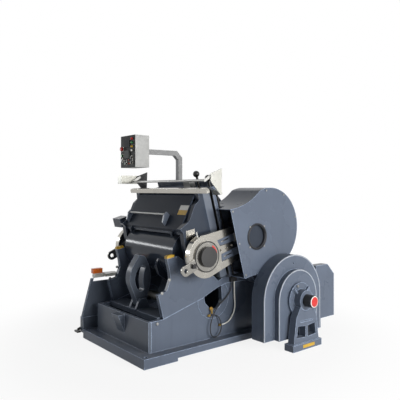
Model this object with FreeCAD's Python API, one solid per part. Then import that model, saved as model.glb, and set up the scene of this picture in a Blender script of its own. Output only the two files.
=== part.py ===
import FreeCAD, Part
import math
import os

os.makedirs("parts", exist_ok=True)

# Millimetres. X to the right, Y to the rear, Z up; origin on the floor in the middle of the anchor bolts.

# base and lower walls
base_width = 1150.0
base_length = 1700.0
base_height = 87.0
foot_length = 350.0
foot_rise = 28.0
anchor_radius = 13.0
anchor_inset = 45.0
side_ledge = 105.0
front_ledge = 110.0
rear_ledge = 60.0
wall_thick = 40.0
sill_thick = 30.0
sill_top = 355.0
wall_top_front = 358.0
wall_top_rear = 590.0
corbel_width = 130.0
corbel_reach = 70.0
window_boss_radius = 192.0
window_boss_raise = 4.0

# press geometry: trunnion, tilt pivot and the lean of the bed
trunnion_from_front = 609.0
trunnion_height = 902.0
pivot_from_front = 640.0
pivot_height = 400.0
bed_lean = 15.5
platen_open = 38.0
running_fit = 0.05
pivot_radius = 45.0
pivot_end_seat = 15.0

# platen and bed, n measured rearwards from the trunnion and u upwards along the bed
table_back = 196.0
table_thick = 80.0
table_low = -300.0
table_high = 545.0
table_overhang = 70.0
die_gap = 30.0
chase_thick = 12.0
bed_flange = 27.0
bed_depth = 75.0
lip_thick = 20.0
lip_high = 50.0
bed_low = -335.0
wing_thick = 60.0
backing_thick = 30.0
belly_radius = 215.0
belly_wall = 40.0
belly_inset = 10.0
web_thick = 60.0
web_inset = 50.0
hub_radius = 105.0
rib_thick = 30.0
rib_place = 170.0
ear_box_wide = 150.0
panel_thick = 10.0
bar_overhang = 120.0
bar_high = 46.0
bar_thick = 34.0
mouth_gap = 13.0
grab_plate = 18.0
grab_radius = 8.0
grab_left_inset = 35.0
grab_right_inset = 265.0
stay_wide = 26.0
cheek_low = (306.0, 887.0)
cheek_high = (425.0, 903.0)
buffer_length = 79.0
buffer_thick = 21.0

# trunnions, connecting rods and throw-off levers
trunnion_radius = 85.0
boss_radius = 130.0
boss_reach = 50.0
rod_thick = 60.0
eye_radius = 195.0
crank_radius = 165.0
shaft_span = 772.0
big_end_radius = 110.0
crank_pin_radius = 60.0
pocket_depth = 14.0
side_gap = 0.5
pin_gap = 0.6
latch_reach = 172.0
latch_half = 20.0
latch_raise = 18.0
lever_thick = 14.0
lever_ring = 140.0
ear_reach = 261.0
ear_radius = 48.0
ear_hole = 20.0
ear_angle = 203.7
cap_radius = 92.0
cap_thick = 30.0

# gear train
main_module = 14.0
main_teeth = 48
main_pinion_teeth = 13
counter_module = 9.0
counter_teeth = 44
drive_pinion_teeth = 14
pressure_angle = 25.0
backlash = 0.9
gear_clear = 15.0
gear_face = 80.0
counter_setback = 85.0
counter_face = 65.0
drive_from_front = 1505.0
drive_height = 455.0
main_shaft_radius = 70.0
counter_shaft_radius = 50.0
drive_shaft_radius = 45.0
bush_wall = 25.0

# covers, flywheel, motor
cover_sheet = 6.0
gear_cover_deep = 270.0
gear_cover_radius = 395.0
cover_lift = 20.0
hood_overlap = 90.0
sight_radius = 109.0
sight_ring = 12.0
sight_recess = 30.0
pinion_clear = 12.0
flywheel_radius = 360.0
flywheel_clear = 25.0
flywheel_wide = 110.0
flywheel_web = 34.0
drum_radius = 412.0
drum_deep = 160.0
step_radius = 275.0
step_deep = 60.0
drum_bottom = 90.0
flange_radius = 158.0
flange_thick = 25.0
housing_radius = 95.0
pedestal_thick = 73.0
pedestal_half = 207.0
pedestal_foot = 63.0
end_cap_length = 92.0
end_cap_radius = 58.0
motor_from_front = 2060.0
motor_height = 395.0
motor_radius = 125.0
motor_length = 280.0
motor_clear = 60.0
motor_shaft_radius = 24.0
motor_pulley_radius = 80.0
belt_wide = 14.0
belt_thick = 10.0
belt_pitch = 22.0
belt_inset = 20.0
belt_count = 3
belt_clear = 0.6
groove_side = 1.0
groove_deep = 14.0
guard_clear = 20.0
guard_wide = 90.0
guard_rear = 2222.0
guard_top = 715.0
guard_bottom = 160.0

# link arm in the middle of the front
arm_pivot_from_front = 310.0
arm_pivot_height = 430.0
arm_half = 40.0
arm_pin_radius = 22.0
fork_thick = 25.0

# control box and mast
mast_side = 50.0
mast_place = -190.0
mast_from_front = 924.0
mast_top = 1890.0
box_wide = 270.0
box_deep = 164.0
box_high = 316.0
box_from_front = 293.0
box_below_arm = 167.0
box_sheet = 4.0
face_thick = 5.0
button_travel = 4.0
button_gap = 0.4
stem_radius = 7.0

# safety rail on the bed
rail_overhang = 100.0
rail_radius = 11.0
rail_from_front = 612.0
rail_height = 1588.0
rail_pivot_from_front = 700.0
switch_wide = 80.0
bolt_clear = 2.5
rail_pivot_height = 1640.0
rail_plate_thick = 10.0
rail_pin_radius = 8.0

# cables
cable_radius = 5.0
hose_radius = 7.0
conduit_radius = 9.0
conduit_set = 36.0

vec = FreeCAD.Vector
front = -base_length / 2
wall_x = base_width / 2 - side_ledge
wall_in = wall_x - wall_thick
wall_rear = -front - rear_ledge
trunnion = (front + trunnion_from_front, trunnion_height)
pivot = (front + pivot_from_front, pivot_height)
drive = (front + drive_from_front, drive_height)
motor = (front + motor_from_front, motor_height)
table_face = table_back + table_thick
bed_face = table_face + die_gap
bed_flange_back = bed_face + chase_thick + bed_flange
bed_back = bed_flange_back + bed_depth
box_base = mast_top - box_below_arm
table_half = wall_x + table_overhang
belly_half = wall_in - belly_inset
web_out = wall_in - web_inset
bar_half = table_half + bar_overhang
wing_in = table_half - wing_thick
grab_left = -wing_in + grab_left_inset
grab_right = wing_in - grab_right_inset
rod_inner = table_half + boss_reach
rod_outer = rod_inner + rod_thick
rod_length = shaft_span + crank_radius
lever_in = rod_outer + side_gap
lever_out = lever_in + lever_thick
gear_inner = wall_x + gear_clear
gear_outer = gear_inner + gear_face
counter_inner = wall_in - counter_setback
gear_cover_outer = wall_x + gear_cover_deep
hood_inner = wall_in - hood_overlap
flywheel_inner = gear_cover_outer + flywheel_clear
drum_outer = gear_cover_outer + drum_deep
step_outer = drum_outer + step_deep
pedestal_inner = step_outer + flange_thick
pedestal_outer = pedestal_inner + pedestal_thick
cap_end = pedestal_outer + end_cap_length
belt_first = flywheel_inner + belt_inset
guard_inner = gear_cover_outer + guard_clear
guard_outer = guard_inner + guard_wide
motor_face = guard_inner - motor_clear
motor_back = motor_face - motor_length
rail_half = table_half + rail_overhang


def fy(distance):
    """Y of a place measured rearwards from the front edge of the base."""
    return front + distance


def press(n, u):
    """(y, z) of a place n behind the trunnion and u up along the leaning bed."""
    a = math.radians(bed_lean)
    return (trunnion[0] + n * math.cos(a) - u * math.sin(a),
            trunnion[1] + n * math.sin(a) + u * math.cos(a))


def around(centre, radius, degrees):
    """(y, z) at an angle about a centre, measured from +Y towards +Z."""
    a = math.radians(degrees)
    return (centre[0] + radius * math.cos(a), centre[1] + radius * math.sin(a))


def heading(start, end):
    """Angle in degrees from one (y, z) place to another."""
    return math.degrees(math.atan2(end[1] - start[1], end[0] - start[0]))


def prism(points, x0, x1):
    """Solid between two X planes with a polygon of (y, z) points as its section."""
    loop = [vec(x0, y, z) for y, z in points + points[:1]]
    return Part.Face(Part.makePolygon(loop)).extrude(vec(x1 - x0, 0, 0))


def tube_x(centre, radius, x0, x1, bore=0.0):
    """Cylinder along X, with a bore when one is asked for."""
    place = vec(x0, centre[0], centre[1])
    body = Part.makeCylinder(radius, x1 - x0, place, vec(1, 0, 0))
    if bore > 0:
        body = body.cut(Part.makeCylinder(bore, x1 - x0, place, vec(1, 0, 0)))
    return body


def block(x0, x1, y0, y1, z0, z1):
    return Part.makeBox(x1 - x0, y1 - y0, z1 - z0, vec(x0, y0, z0))


def outline(start, pieces):
    """Edges in the YZ plane at X = 0 from ('line', end) and ('arc', mid, end) pieces, closed at the end."""
    edges = []
    here = start
    for piece in pieces + [("line", start)]:
        end = piece[-1]
        if math.dist(here, end) < 0.01:
            continue
        a = vec(0, here[0], here[1])
        b = vec(0, end[0], end[1])
        if piece[0] == "line":
            edges.append(Part.LineSegment(a, b).toShape())
        else:
            edges.append(Part.Arc(a, vec(0, piece[1][0], piece[1][1]), b).toShape())
        here = end
    return Part.Wire(edges)


def slab(wire, x0, x1):
    """Solid between two X planes with a closed wire as its section."""
    face = Part.Face(wire)
    face.translate(vec(x0, 0, 0))
    return face.extrude(vec(x1 - x0, 0, 0))


def fused(shapes):
    body = shapes[0].multiFuse(shapes[1:]) if len(shapes) > 1 else shapes[0]
    return body.removeSplitter()


def mirrored(shape):
    return shape.mirror(vec(0, 0, 0), vec(1, 0, 0))


def both_sides(shape):
    return Part.makeCompound([shape, mirrored(shape)])


def save(name, shape):
    shape.exportStep("parts/%s.step" % name)


def circle_meet(a, ra, b, rb, side):
    """Place at distance ra from a and rb from b, on the chosen side of the line from a to b."""
    span = math.dist(a, b)
    along = (ra * ra - rb * rb + span * span) / (2 * span)
    off = side * math.sqrt(ra * ra - along * along)
    dy = (b[0] - a[0]) / span
    dz = (b[1] - a[1]) / span
    return (a[0] + along * dy - off * dz, a[1] + along * dz + off * dy)


main_pitch = main_module * main_teeth / 2
pinion_pitch = main_module * main_pinion_teeth / 2
counter_pitch = counter_module * counter_teeth / 2
drive_pitch = counter_module * drive_pinion_teeth / 2
crank = press(shaft_span, 0)
cover_centre = (crank[0], crank[1] + cover_lift)
counter = circle_meet(crank, main_pitch + pinion_pitch, drive, counter_pitch + drive_pitch, -1)
crank_pin = press(rod_length, 0)

# top edge of the lower walls, which is also the foot of the side frames
seam = [(fy(267), wall_top_front), (fy(714), 485.0), (fy(890), 558.0), (fy(1000), wall_top_rear),
        (wall_rear, wall_top_rear)]


def gear(centre, module, teeth, tooth_heading, x0, x1, bore):
    """Stub-tooth involute gear; the flanks are chords of the involute, thinned for backlash."""
    pitch = module * teeth / 2
    slope = math.radians(pressure_angle)
    ground = pitch * math.cos(slope)
    tip = pitch + 0.8 * module
    root = pitch - 1.05 * module
    half = (math.pi * module / 2 - backlash) / (2 * pitch)

    def flank(radius):
        turn = math.acos(min(1.0, ground / radius))
        return half + math.tan(slope) - slope - (math.tan(turn) - turn)

    steps = 4
    low = max(root, ground)
    radii = [low + (tip - low) * i / steps for i in range(steps + 1)]
    points = []
    for k in range(teeth):
        middle = math.radians(tooth_heading) + 2 * math.pi * k / teeth
        side = [(root, flank(low))] if root < low else []
        side = side + [(r, flank(r)) for r in radii]
        for r, a in side:
            points.append((centre[0] + r * math.cos(middle - a), centre[1] + r * math.sin(middle - a)))
        for r, a in reversed(side):
            points.append((centre[0] + r * math.cos(middle + a), centre[1] + r * math.sin(middle + a)))
    return prism(points, x0, x1).cut(tube_x(centre, bore, x0, x1))


def base_frame():
    half = base_width / 2
    body = block(-half, half, front, -front, 0, base_height)
    body = body.cut(block(-half, half, front + foot_length, -front - foot_length, 0, foot_rise))
    for sx in (-1, 1):
        for sy in (-1, 1):
            place = vec(sx * (half - anchor_inset), sy * (-front - anchor_inset), 0)
            body = body.cut(Part.makeCylinder(anchor_radius, base_height, place))
    return body


def front_sill():
    y0 = fy(front_ledge)
    wall = block(-wall_x, wall_x, y0, y0 + sill_thick, base_height, sill_top)
    corbel_top = sill_top - 10
    corbel_low = base_height + 92
    corbel = prism([(y0, corbel_low), (y0 - corbel_reach, corbel_top), (y0, corbel_top)],
                   -corbel_width / 2, corbel_width / 2)
    return fused([wall, corbel])


def cross_beam():
    top = arm_pivot_height - 60
    return block(-wall_in, wall_in, fy(230), fy(420), top - 45, top)


def rear_sill():
    return block(-wall_in, wall_in, wall_rear - sill_thick, wall_rear, base_height, wall_top_rear)


def wall_section():
    y0 = fy(front_ledge) + sill_thick
    return [(y0, base_height), (y0, sill_top)] + seam + [(wall_rear, base_height)]


def access_window():
    """Rounded opening under the seam; it runs past the seam so the side frame closes its top."""
    return outline((fy(722), 520.0), [
        ("line", (fy(737), 435.0)), ("line", (fy(804), 372.0)), ("line", (fy(878), 356.0)),
        ("arc", (fy(938), 400.0), (fy(950), 470.0)), ("line", (fy(945), 600.0)), ("line", (fy(722), 600.0))])


def lower_wall(right_side):
    """Lower wall; the right one has the access window with its boss and the drive shaft hole."""
    window_centre = (fy(845), 465.0)
    body = prism(wall_section(), wall_in, wall_x)
    if right_side:
        boss = tube_x(window_centre, window_boss_radius, wall_x, wall_x + window_boss_raise)
        boss = boss.common(prism(wall_section(), wall_x, wall_x + window_boss_raise))
        body = fused([body, boss]).cut(slab(access_window(), wall_in - 1, wall_x + 50))
        body = body.cut(tube_x(drive, drive_shaft_radius + bush_wall, wall_in, wall_x))
    return body.cut(tube_x(pivot, pivot_radius, wall_in - 1, wall_in + pivot_end_seat))


def side_frame():
    """Cheek at the front, a mouth the platen swings through, and the upright that carries the shafts."""
    a = math.radians(bed_lean + platen_open)
    back = table_back - press_n(pivot) - mouth_gap
    foot = table_low - press_u(pivot)
    corner = (pivot[0] + back * math.cos(a) - foot * math.sin(a),
              pivot[1] + back * math.sin(a) + foot * math.cos(a))
    reach = math.dist(corner, pivot)
    end = around(pivot, reach, 40.0)
    wire = outline(seam[0], [
        ("line", (fy(212), 577.0)), ("line", (fy(304), 603.0)), ("line", (fy(345), 704.0)),
        ("line", (fy(335), 778.0)), ("line", (fy(cheek_low[0]), cheek_low[1])),
        ("line", (fy(cheek_high[0]), cheek_high[1])),
        ("line", corner), ("arc", around(pivot, reach, 62.0), end),
        ("line", press(bed_face, bed_low)), ("line", press(bed_back, bed_low)),
        ("line", press(bed_back, 310.0)),
        ("line", (crank[0] - 250, crank[1] + 240)), ("line", (crank[0], crank[1] + 270)),
        ("line", (crank[0] + 210, crank[1] + 180)), ("line", (wall_rear, crank[1])),
        ("line", seam[-1]), ("line", seam[-2]), ("line", seam[-3]), ("line", seam[-4])])
    body = slab(wire, wall_in, wall_x)
    body = body.cut(tube_x(crank, main_shaft_radius + bush_wall, wall_in, wall_x))
    return body.cut(tube_x(counter, counter_shaft_radius + bush_wall, wall_in, wall_x))


def press_n(place):
    a = math.radians(bed_lean)
    return (place[0] - trunnion[0]) * math.cos(a) + (place[1] - trunnion[1]) * math.sin(a)


def press_u(place):
    a = math.radians(bed_lean)
    return (place[1] - trunnion[1]) * math.cos(a) - (place[0] - trunnion[0]) * math.sin(a)


def leaning(n0, n1, u0, u1, x0, x1):
    """Block square to the leaning bed."""
    return prism([press(n0, u0), press(n1, u0), press(n1, u1), press(n0, u1)], x0, x1)


def die_bed():
    flange = leaning(bed_face + chase_thick, bed_flange_back, bed_low, table_high, -table_half, table_half)
    body = leaning(bed_flange_back, bed_back, bed_low, table_high, -wall_x, wall_x)
    lip = leaning(bed_back - lip_thick, bed_back, table_high - 1, table_high + lip_high, -wall_x, wall_x)
    return fused([flange, body, lip])


def chase_plate():
    return leaning(bed_face, bed_face + chase_thick, bed_low, table_high, -table_half, table_half)


def wing():
    points = [(-112, 248), (-135, 293), (-21, 331), (80, 455), (140, 482), (150, table_high),
              (table_back, table_high), (table_back, -120), (0, -130), (-110, -60), (-125, 100)]
    return prism([press(n, u) for n, u in points], wing_in, table_half)


def platen_casting():
    back = table_back - backing_thick
    upper = leaning(back, table_back, 100.0, table_high, -table_half, table_half)
    lower = leaning(back, table_back, table_low, 110.0, -belly_half, belly_half)
    belly = tube_x(trunnion, belly_radius, -belly_half, belly_half, belly_radius - belly_wall)
    ends = tube_x(trunnion, belly_radius - 1, web_out, belly_half)
    keep = leaning(-2 * belly_radius, back + 2, -2 * belly_radius, 2 * belly_radius, -table_half, table_half)
    web = [(-205, -80), (-205, press_u(pivot)), (0, press_u(pivot)), (back + 2, table_low), (back + 2, -80)]
    rib = [(back + 2, table_low), (-150, -270), (-255, -135), (-258, -45), (-205, 20), (back + 2, 20)]
    shelf = leaning(-95.0, back + 2, 225.0, 245.0, -wing_in - 1, wing_in + 1)
    ear_box = leaning(-125.0, -20.0, 240.0, 335.0, -table_half - ear_box_wide, -table_half + 1)
    shapes = [upper, lower, belly.common(keep), shelf, ear_box]
    for side in (1, -1):
        x0 = web_out - web_thick if side > 0 else -web_out
        r0 = rib_place if side > 0 else -rib_place - rib_thick
        shapes.append(prism([press(n, u) for n, u in web], x0, x0 + web_thick))
        shapes.append(prism([press(n, u) for n, u in rib], r0, r0 + rib_thick))
        shapes.append(tube_x(pivot, hub_radius, x0 - 10, x0 + web_thick + 10))
    for shape in (wing(), tube_x(trunnion, boss_radius, wing_in, rod_inner - side_gap), ends.common(keep)):
        shapes += [shape, mirrored(shape)]
    body = fused(shapes)
    body = body.cut(tube_x(pivot, pivot_radius + running_fit, -belly_half, belly_half))
    return fused([body, trunnion_pin(), mirrored(trunnion_pin())])


def platen_table():
    return leaning(table_back, table_face, table_low, table_high, -table_half, table_half)


panel_low = (-100.0, 275.0)
panel_high = (140.0, 530.0)


def on_panel(along, out):
    """(y, z) at a place up the sloping back panel and out from it towards the front."""
    span = math.dist(panel_low, panel_high)
    dn = (panel_high[0] - panel_low[0]) / span
    du = (panel_high[1] - panel_low[1]) / span
    return press(panel_low[0] + along * dn - out * du, panel_low[1] + along * du + out * dn)


def back_panel():
    top = math.dist(panel_low, panel_high)
    sheet = prism([on_panel(0, 0), on_panel(0, -panel_thick), on_panel(top, -panel_thick), on_panel(top, 0)],
                  -wing_in, wing_in)
    skirt = prism([on_panel(0, 0), on_panel(0, -panel_thick), press(-70, 246), press(-95, 246)],
                  -wing_in, wing_in)
    return fused([sheet, skirt])


def top_bar():
    n0 = table_back - bar_thick - 10
    chamfer = 20.0
    u0 = table_high
    body = leaning(n0, n0 + bar_thick, u0, u0 + bar_high, -bar_half, bar_half)
    for side in (1, -1):
        a = press(n0 - 1, u0 + bar_high)
        corner = [vec(side * bar_half, a[0], a[1]), vec(side * (bar_half - chamfer), a[0], a[1])]
        b = press(n0 - 1, u0 + bar_high - chamfer)
        corner += [vec(side * bar_half, b[0], b[1]), corner[0]]
        reach = press(n0 + bar_thick + 1, 0)
        start = press(n0 - 1, 0)
        step = vec(0, reach[0] - start[0], reach[1] - start[1])
        body = body.cut(Part.Face(Part.makePolygon(corner)).extrude(step))
    return body


def rail_clamps():
    """Two plates standing on the back panel, with the grab rod between them."""
    plate = [on_panel(25, 0), on_panel(140, 0), on_panel(150, 45), on_panel(110, 58), on_panel(40, 40)]
    return [prism(plate, x, x + grab_plate) for x in (grab_left, grab_right)]


def grab_rod():
    return tube_x(on_panel(126, 38), grab_radius, grab_left + grab_plate - 3, grab_right + 3)


def panel_stays():
    """Small black brackets under the lower edge of the back panel."""
    points = [(-97.5, 262), (-80, 252), (-80, 246), (-95.3, 246), (-95.3, 205), (-120, 205), (-125, 230),
              (-118, 250)]
    section = [press(n, u) for n, u in points]
    return [prism(section, x, x + stay_wide) for x in (-wing_in + 100, wing_in - 135)]


def trunnion_pin():
    return tube_x(trunnion, trunnion_radius, wing_in, lever_out + side_gap)


def trunnion_cap():
    return tube_x(trunnion, cap_radius, lever_out + side_gap, lever_out + side_gap + cap_thick)


def rod_outline():
    """Eye, tapered shank and big end of a connecting rod, along n from the trunnion."""
    eye_lean = 78.0
    top = (eye_radius * math.cos(math.radians(eye_lean)), eye_radius * math.sin(math.radians(eye_lean)))
    big = (rod_length + big_end_radius * math.cos(math.radians(eye_lean)),
           big_end_radius * math.sin(math.radians(eye_lean)))
    return outline(press(*top), [
        ("arc", press(-eye_radius, 0), press(top[0], -top[1])), ("line", press(big[0], -big[1])),
        ("arc", press(rod_length + big_end_radius, 0), press(*big))])


def rod_pockets():
    """Two sunk panels with a strip between them."""
    upper = [(180, 36), (160, 97), (385, 95), (385, 16)]
    lower = [(175, -40), (162, -112), (400, -118), (400, -40)]
    return [prism([press(n, u) for n, u in points], rod_outer - pocket_depth, rod_outer + 1)
            for points in (upper, lower)]


def connecting_rod():
    body = slab(rod_outline(), rod_inner, rod_outer)
    for pocket in rod_pockets():
        body = body.cut(pocket)
    for n in (175, 245, 315):
        body = body.cut(tube_x(press(n, -4), 10.0, rod_outer - pocket_depth, rod_outer))
    body = body.cut(tube_x(trunnion, trunnion_radius + running_fit, rod_inner, rod_outer))
    return fused([body, crank_pin_body()])


def crank_pin_body():
    pin = tube_x(crank_pin, crank_pin_radius, gear_outer + pin_gap, rod_outer)
    return fused([pin, tube_x(crank_pin, crank_pin_radius + 18, gear_outer + pin_gap, rod_inner)])


def lever_latch():
    """Raised catch at the root of the lever arm."""
    y, z = around(trunnion, latch_reach, ear_angle)
    return block(lever_out - 1, lever_out + latch_raise, y - latch_half, y + latch_half,
                 z - latch_half, z + latch_half)


def throw_off_lever():
    ear = around(trunnion, ear_reach, ear_angle)
    across = ear_angle + 90
    arm = [around(trunnion, ear_radius, across), around(ear, ear_radius, across),
           around(ear, ear_radius, across + 180), around(trunnion, ear_radius, across + 180)]
    body = fused([tube_x(trunnion, lever_ring, lever_in, lever_out), prism(arm, lever_in, lever_out),
                  tube_x(ear, ear_radius, lever_in, lever_out), lever_latch()])
    body = body.cut(tube_x(trunnion, trunnion_radius + running_fit, lever_in, lever_out))
    return body.cut(tube_x(ear, ear_hole, lever_in, lever_out))


def bush(centre, radius):
    return tube_x(centre, radius + bush_wall, wall_in, wall_x + 6, radius + running_fit)


def bushes():
    right = [bush(crank, main_shaft_radius), bush(counter, counter_shaft_radius)]
    return Part.makeCompound(right + [mirrored(b) for b in right] + [bush(drive, drive_shaft_radius)])


def main_gear():
    return gear(crank, main_module, main_teeth, heading(crank, counter),
                gear_inner, gear_outer, main_shaft_radius)


def counter_pinion():
    gap = heading(counter, crank) + 180.0 / main_pinion_teeth
    return gear(counter, main_module, main_pinion_teeth, gap, gear_inner, gear_outer, counter_shaft_radius)


def counter_gear():
    return gear(counter, counter_module, counter_teeth, heading(counter, drive),
                counter_inner, counter_inner + counter_face, counter_shaft_radius)


def drive_pinion():
    gap = heading(drive, counter) + 180.0 / drive_pinion_teeth
    return gear(drive, counter_module, drive_pinion_teeth, gap,
                counter_inner, counter_inner + counter_face, drive_shaft_radius)


def cover_profile(inset):
    """Side outline of a gear cover: leaning mouth, rising top, round rear and straight foot."""
    r = gear_cover_radius - inset
    mouth = bed_face + 9
    top_u = 349 - inset
    low_u = -327 + inset
    top = press(mouth, top_u)
    crown = around(cover_centre, r, 112)
    foot = around(cover_centre, r, 281.5)
    return outline(top, [
        ("arc", (fy(1060), crank[1] + 285 - inset), crown), ("arc", around(cover_centre, r, 10), foot),
        ("line", press(mouth, low_u))])


def gear_cover():
    outer = slab(cover_profile(0), wall_x, gear_cover_outer)
    hollow = slab(cover_profile(cover_sheet), wall_x, gear_cover_outer - cover_sheet)
    hood = slab(cover_profile(0), hood_inner, wall_x).cut(slab(cover_profile(cover_sheet), hood_inner, wall_x))
    far = 3 * gear_cover_radius
    behind = leaning(bed_back + 2, far + bed_back, 0, far, hood_inner, wall_x)
    above = block(hood_inner, wall_x, front, 3 * base_length, crank[1] + 60, 3 * trunnion_height)
    hood = hood.common(behind).common(above)
    mouth = leaning(0, bed_face + 9 + cover_sheet + 2, -327 + cover_sheet, 349 - cover_sheet,
                    wall_x, gear_cover_outer - cover_sheet)
    bed_room = leaning(0, bed_back + 2, -600, 600, wall_x, table_half + 4)
    pinion_room = main_module * (main_pinion_teeth / 2 + 1) + pinion_clear
    pinion_end = gear_outer + pinion_clear
    bulge = tube_x(counter, pinion_room + cover_sheet, wall_x, pinion_end + cover_sheet)
    body = fused([outer.cut(hollow).cut(mouth).cut(bed_room), bulge.cut(hollow), hood])
    body = body.cut(tube_x(counter, pinion_room, wall_x, pinion_end))
    sight = press(shaft_span - 197, 0)
    body = body.cut(tube_x(sight, sight_radius, gear_cover_outer - 2 * cover_sheet, gear_cover_outer))
    return fused([body, sight_cup()])


def sight_cup():
    """Round recess in the face of the gear cover, with a raised ring and a closed back."""
    sight = press(shaft_span - 197, 0)
    ring = tube_x(sight, sight_radius + sight_ring, gear_cover_outer, gear_cover_outer + 5, sight_radius)
    back = gear_cover_outer - sight_recess
    wall = tube_x(sight, sight_radius + cover_sheet, back, gear_cover_outer, sight_radius)
    return fused([ring, wall, tube_x(sight, sight_radius + cover_sheet, back - cover_sheet, back)])


def cover_screws():
    """Round-head screws along the edge of the gear covers."""
    screws = []
    places = [press(bed_face + 30, 322), press(bed_face + 30, -300), press(bed_face + 30, 10)]
    places += [around(cover_centre, gear_cover_radius - 22, a) for a in (100, 60, 15)]
    sight = press(shaft_span - 197, 0)
    places += [around(sight, sight_radius + sight_ring + 14, a) for a in (45, 135, 225, 315)]
    for place in places:
        screws.append(tube_x(place, 9.0, gear_cover_outer, gear_cover_outer + 6))
    return screws + [mirrored(s) for s in screws]


def arch(radius, bottom):
    """Upright outline with a round top about the drive shaft and straight sides down to the bottom."""
    left = (drive[0] - radius, drive[1])
    right = (drive[0] + radius, drive[1])
    return outline((left[0], bottom), [
        ("line", left), ("arc", (drive[0], drive[1] + radius), right), ("line", (right[0], bottom))])


def flywheel_cover():
    drum = slab(arch(drum_radius, drum_bottom), gear_cover_outer, drum_outer)
    inside = arch(drum_radius - cover_sheet, drum_bottom - 1)
    drum = drum.cut(slab(inside, gear_cover_outer, drum_outer - cover_sheet))
    step = slab(arch(step_radius, drum_bottom), drum_outer, step_outer)
    step_hollow = slab(arch(step_radius - cover_sheet, drum_bottom - 1),
                       drum_outer - 2 * cover_sheet, step_outer - cover_sheet)
    body = fused([drum, step]).cut(step_hollow)
    body = body.cut(tube_x(drive, drive_shaft_radius + 8, drum_outer, step_outer))
    body = body.cut(tube_x((drive[0], drive[1] + 333), 9.0, drum_outer - cover_sheet, drum_outer))
    belt_way = block(guard_inner + 8, guard_outer - 8, drive[0] + drum_radius / 2, drive[0] + drum_radius + 1,
                     230, 650)
    return body.cut(belt_way)


def drum_back():
    """Flat inner wall of the flywheel cover, seated on the gear cover."""
    wall = slab(arch(drum_radius - cover_sheet, drum_bottom), gear_cover_outer, gear_cover_outer + cover_sheet)
    return wall.cut(tube_x(drive, drive_shaft_radius + 20, gear_cover_outer, gear_cover_outer + cover_sheet))


def belt_guard():
    y0 = drive[0] + drum_radius
    y1 = fy(guard_rear)
    points = [(y0, guard_bottom), (y0, guard_top), (y1 - 110, guard_top), (y1, guard_top - 110),
              (y1, guard_bottom)]
    t = cover_sheet
    inner = [(y0 - 1, guard_bottom - 1), (y0 - 1, guard_top - t), (y1 - 113, guard_top - t),
             (y1 - t, guard_top - 113), (y1 - t, guard_bottom - 1)]
    body = prism(points, guard_inner, guard_outer).cut(prism(inner, guard_inner + t, guard_outer - t))
    return body.cut(tube_x(motor, motor_shaft_radius + 6, guard_inner, guard_inner + t))


def grooved(centre, radius, x0, x1):
    """Wheel with one square groove for each belt."""
    body = tube_x(centre, radius, x0, x1)
    for i in range(belt_count):
        x = belt_first + i * belt_pitch
        ring = tube_x(centre, radius, x - belt_wide / 2 - groove_side, x + belt_wide / 2 + groove_side,
                      radius - groove_deep)
        body = body.cut(ring)
    return body


def flywheel():
    body = grooved(drive, flywheel_radius, flywheel_inner, flywheel_inner + flywheel_wide)
    middle = flywheel_inner + flywheel_wide / 2
    for x0, x1 in ((flywheel_inner, middle - flywheel_web / 2),
                   (middle + flywheel_web / 2, flywheel_inner + flywheel_wide)):
        body = body.cut(tube_x(drive, flywheel_radius - 62, x0, x1, 85.0))
    for k in range(6):
        hole = around(drive, 190, 60 * k)
        body = body.cut(tube_x(hole, 55.0, flywheel_inner, flywheel_inner + flywheel_wide))
    return body.cut(tube_x(drive, drive_shaft_radius, flywheel_inner, flywheel_inner + flywheel_wide))


def belt_loop(extra):
    """Open-belt outline round the flywheel and the motor pulley."""
    big = flywheel_radius - groove_deep + belt_clear + extra
    small = motor_pulley_radius - groove_deep + belt_clear + extra
    span = math.dist(drive, motor)
    lean = heading(drive, motor)
    swing = math.degrees(math.acos((big - small) / span))
    return outline(around(drive, big, lean + swing), [
        ("arc", around(drive, big, lean + 180), around(drive, big, lean - swing)),
        ("line", around(motor, small, lean - swing)),
        ("arc", around(motor, small, lean), around(motor, small, lean + swing))])


def drive_belts():
    belts = []
    for i in range(belt_count):
        x = belt_first + i * belt_pitch
        ring = slab(belt_loop(belt_thick), x - belt_wide / 2, x + belt_wide / 2)
        belts.append(ring.cut(slab(belt_loop(0), x - belt_wide / 2, x + belt_wide / 2)))
    return Part.makeCompound(belts)


def motor_pulley():
    x0 = flywheel_inner + 5
    x1 = belt_first + (belt_count - 1) * belt_pitch + belt_wide
    shaft = tube_x(motor, motor_shaft_radius, motor_face + running_fit, x1)
    return fused([grooved(motor, motor_pulley_radius, x0, x1), shaft])


def motor_body():
    pitch = motor_length / 10
    fins = [tube_x(motor, motor_radius, motor_back + (k + 0.7) * pitch, motor_back + (k + 1.2) * pitch)
            for k in range(8)]
    can = tube_x(motor, motor_radius - 14, motor_back, motor_face)
    seat_low = motor[1] - motor_radius - 15
    seat = block(motor_back + pitch, motor_face - pitch, motor[0] - 100, motor[0] + 100,
                 seat_low, seat_low + 55)
    return fused(fins + [can, seat, tube_x(motor, motor_radius - 5, motor_face - 24, motor_face)])


def motor_bracket():
    top = motor[1] - motor_radius - 15
    plate = block(wall_in - 30, motor_face + 20, wall_rear, motor[0] + 130, top - 25, top)
    legs = [block(x, x + 50, motor[0] + 70, motor[0] + 120, 0, top - 25)
            for x in (wall_in - 20, motor_face - 40)]
    cleat = block(wall_in - 30, wall_in, wall_rear, wall_rear + 60, top - 90, top - 25)
    return fused([plate, cleat] + legs)


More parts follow.
